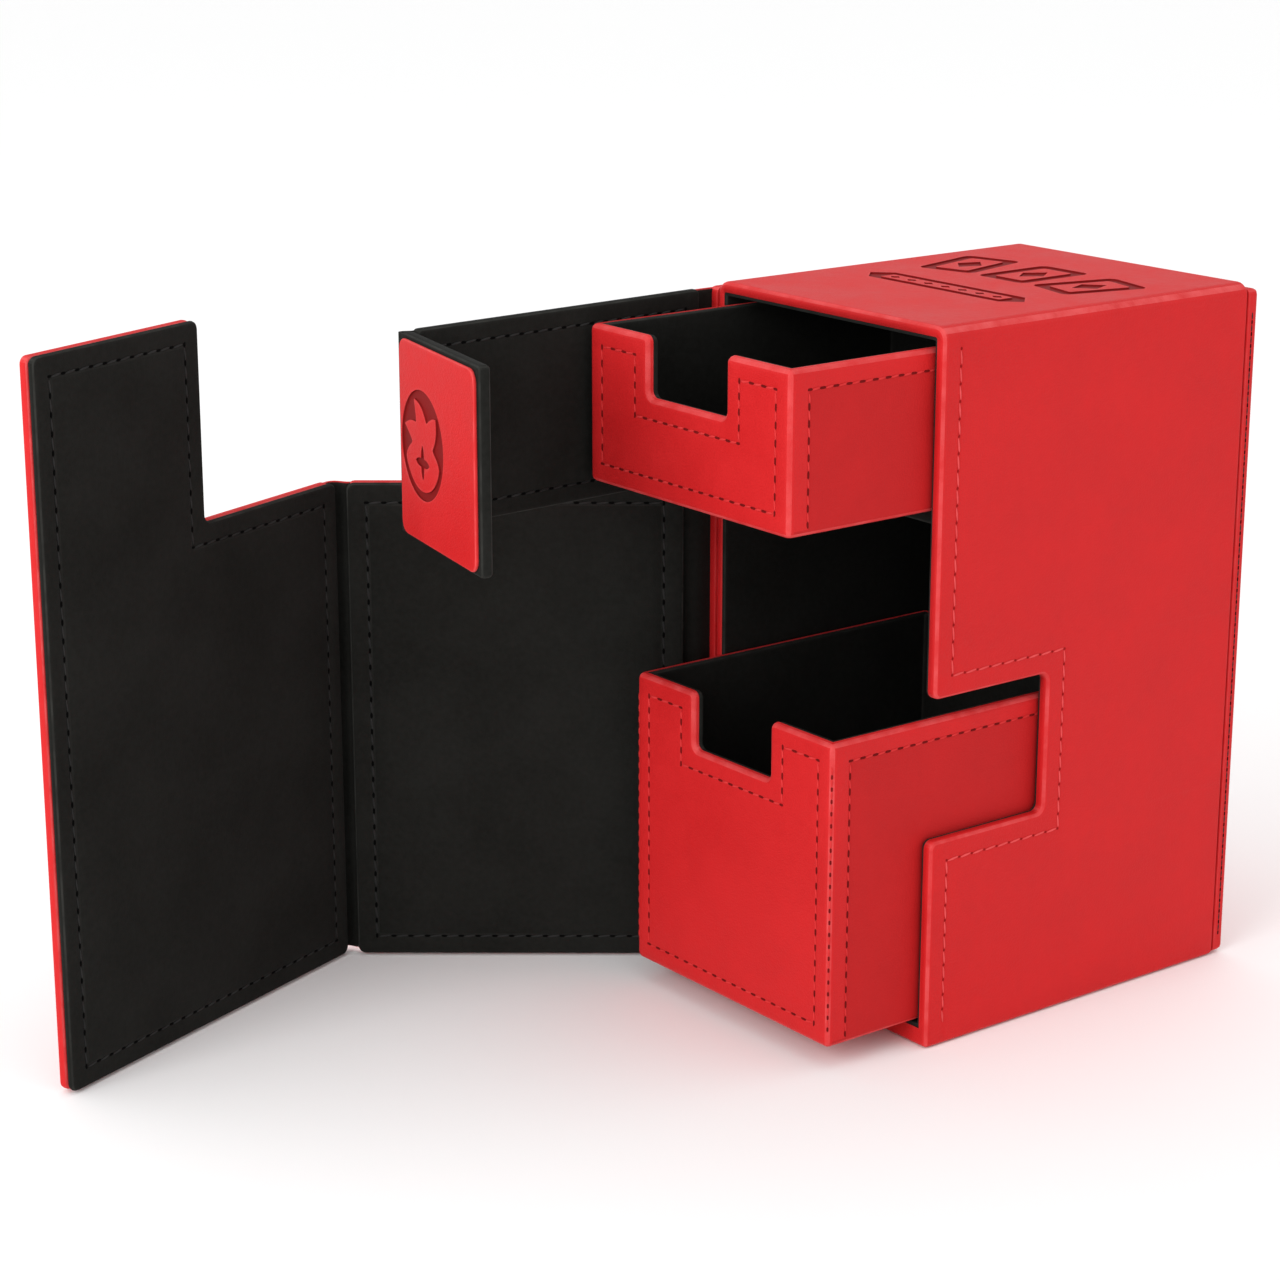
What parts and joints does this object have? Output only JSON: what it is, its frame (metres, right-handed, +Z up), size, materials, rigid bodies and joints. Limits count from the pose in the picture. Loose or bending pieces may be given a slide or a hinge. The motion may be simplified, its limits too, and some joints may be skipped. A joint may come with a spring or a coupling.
{
  "type": "card deck box",
  "caption": "Upright leatherette card deck box with two pull-out trays, side finger notch and a wrap-around magnetic cover in hinged panels.",
  "frame": {"origin": "centre of the underside of the case, on the surface it stands on", "axes": "+Z up, -Y towards the open front where the trays come out, +X towards the case wall with the finger notch"},
  "size_m": [0.1136, 0.2271, 0.142],
  "materials": {
    "red_leatherette": "fine-grained red leatherette, satin",
    "black_suede": "black suede-like lining, matt",
    "greyboard": "grey cardboard, matt",
    "magnet": "nickel-plated"
  },
  "bodies": {
    "shell": {"base_skin": "red_leatherette", "case_base_board": "greyboard", "case_top_board": "greyboard", "case_left_board": "greyboard", "case_right_board": "greyboard", "case_back_board": "greyboard", "case_skin": "red_leatherette", "case_lining": "black_suede", "divider_shelf_board": "greyboard", "divider_shelf_wrap": "black_suede", "case_magnets": "magnet", "cover_left_board": "greyboard", "cover_back_board": "greyboard", "cover_skin": "red_leatherette", "front_hinge_strip": "red_leatherette", "strap_hinge_strip": "red_leatherette"},
    "front_panel": {"front_panel_board": "greyboard", "front_panel_skin": "red_leatherette", "front_panel_lining": "black_suede", "side_fold_strip": "red_leatherette"},
    "side_panel": {"side_panel_board": "greyboard", "side_panel_skin": "red_leatherette", "side_panel_lining": "black_suede", "side_panel_magnets": "magnet"},
    "strap": {"strap_board": "greyboard", "strap_wrap": "black_suede", "strap_skin": "red_leatherette", "flap_fold_strip": "red_leatherette"},
    "flap": {"flap_board": "greyboard", "flap_wrap": "black_suede", "flap_patch": "red_leatherette", "flap_magnets": "magnet"},
    "lower_tray": {"lower_tray_floor_board": "greyboard", "lower_tray_left_board": "greyboard", "lower_tray_right_board": "greyboard", "lower_tray_front_board": "greyboard", "lower_tray_back_board": "greyboard", "lower_tray_skin": "red_leatherette", "lower_tray_lining": "black_suede"},
    "upper_tray": {"upper_tray_floor_board": "greyboard", "upper_tray_left_board": "greyboard", "upper_tray_right_board": "greyboard", "upper_tray_front_board": "greyboard", "upper_tray_back_board": "greyboard", "upper_tray_skin": "red_leatherette", "upper_tray_lining": "black_suede"}
  },
  "joints": [
    {"name": "lower_tray_slide", "type": "slide", "parent": "shell", "child": "lower_tray", "axis": [0, -1, 0], "range_m": [-0.023, 0.047]},
    {"name": "upper_tray_slide", "type": "slide", "parent": "shell", "child": "upper_tray", "axis": [0, -1, 0], "range_m": [-0.0344, 0.0356]},
    {"name": "front_panel_hinge", "type": "hinge", "parent": "shell", "child": "front_panel", "pos_m": [-0.036, -0.04515, 0.05105], "axis": [0, 0, -1], "range_deg": [-43.1, 52.4]},
    {"name": "side_panel_hinge", "type": "hinge", "parent": "front_panel", "child": "side_panel", "pos_m": [-0.08078, -0.1033, 0.05105], "axis": [0, 0, -1], "range_deg": [-32.5, 57.5]},
    {"name": "strap_hinge", "type": "hinge", "parent": "shell", "child": "strap", "pos_m": [-0.036, -0.04395, 0.1215], "axis": [0, 0, -1], "range_deg": [-3, 92.6]},
    {"name": "flap_hinge", "type": "hinge", "parent": "strap", "child": "flap", "pos_m": [-0.03267, -0.11727, 0.1215], "axis": [0, 0, -1], "range_deg": [-14.6, 75.4]}
  ]
}
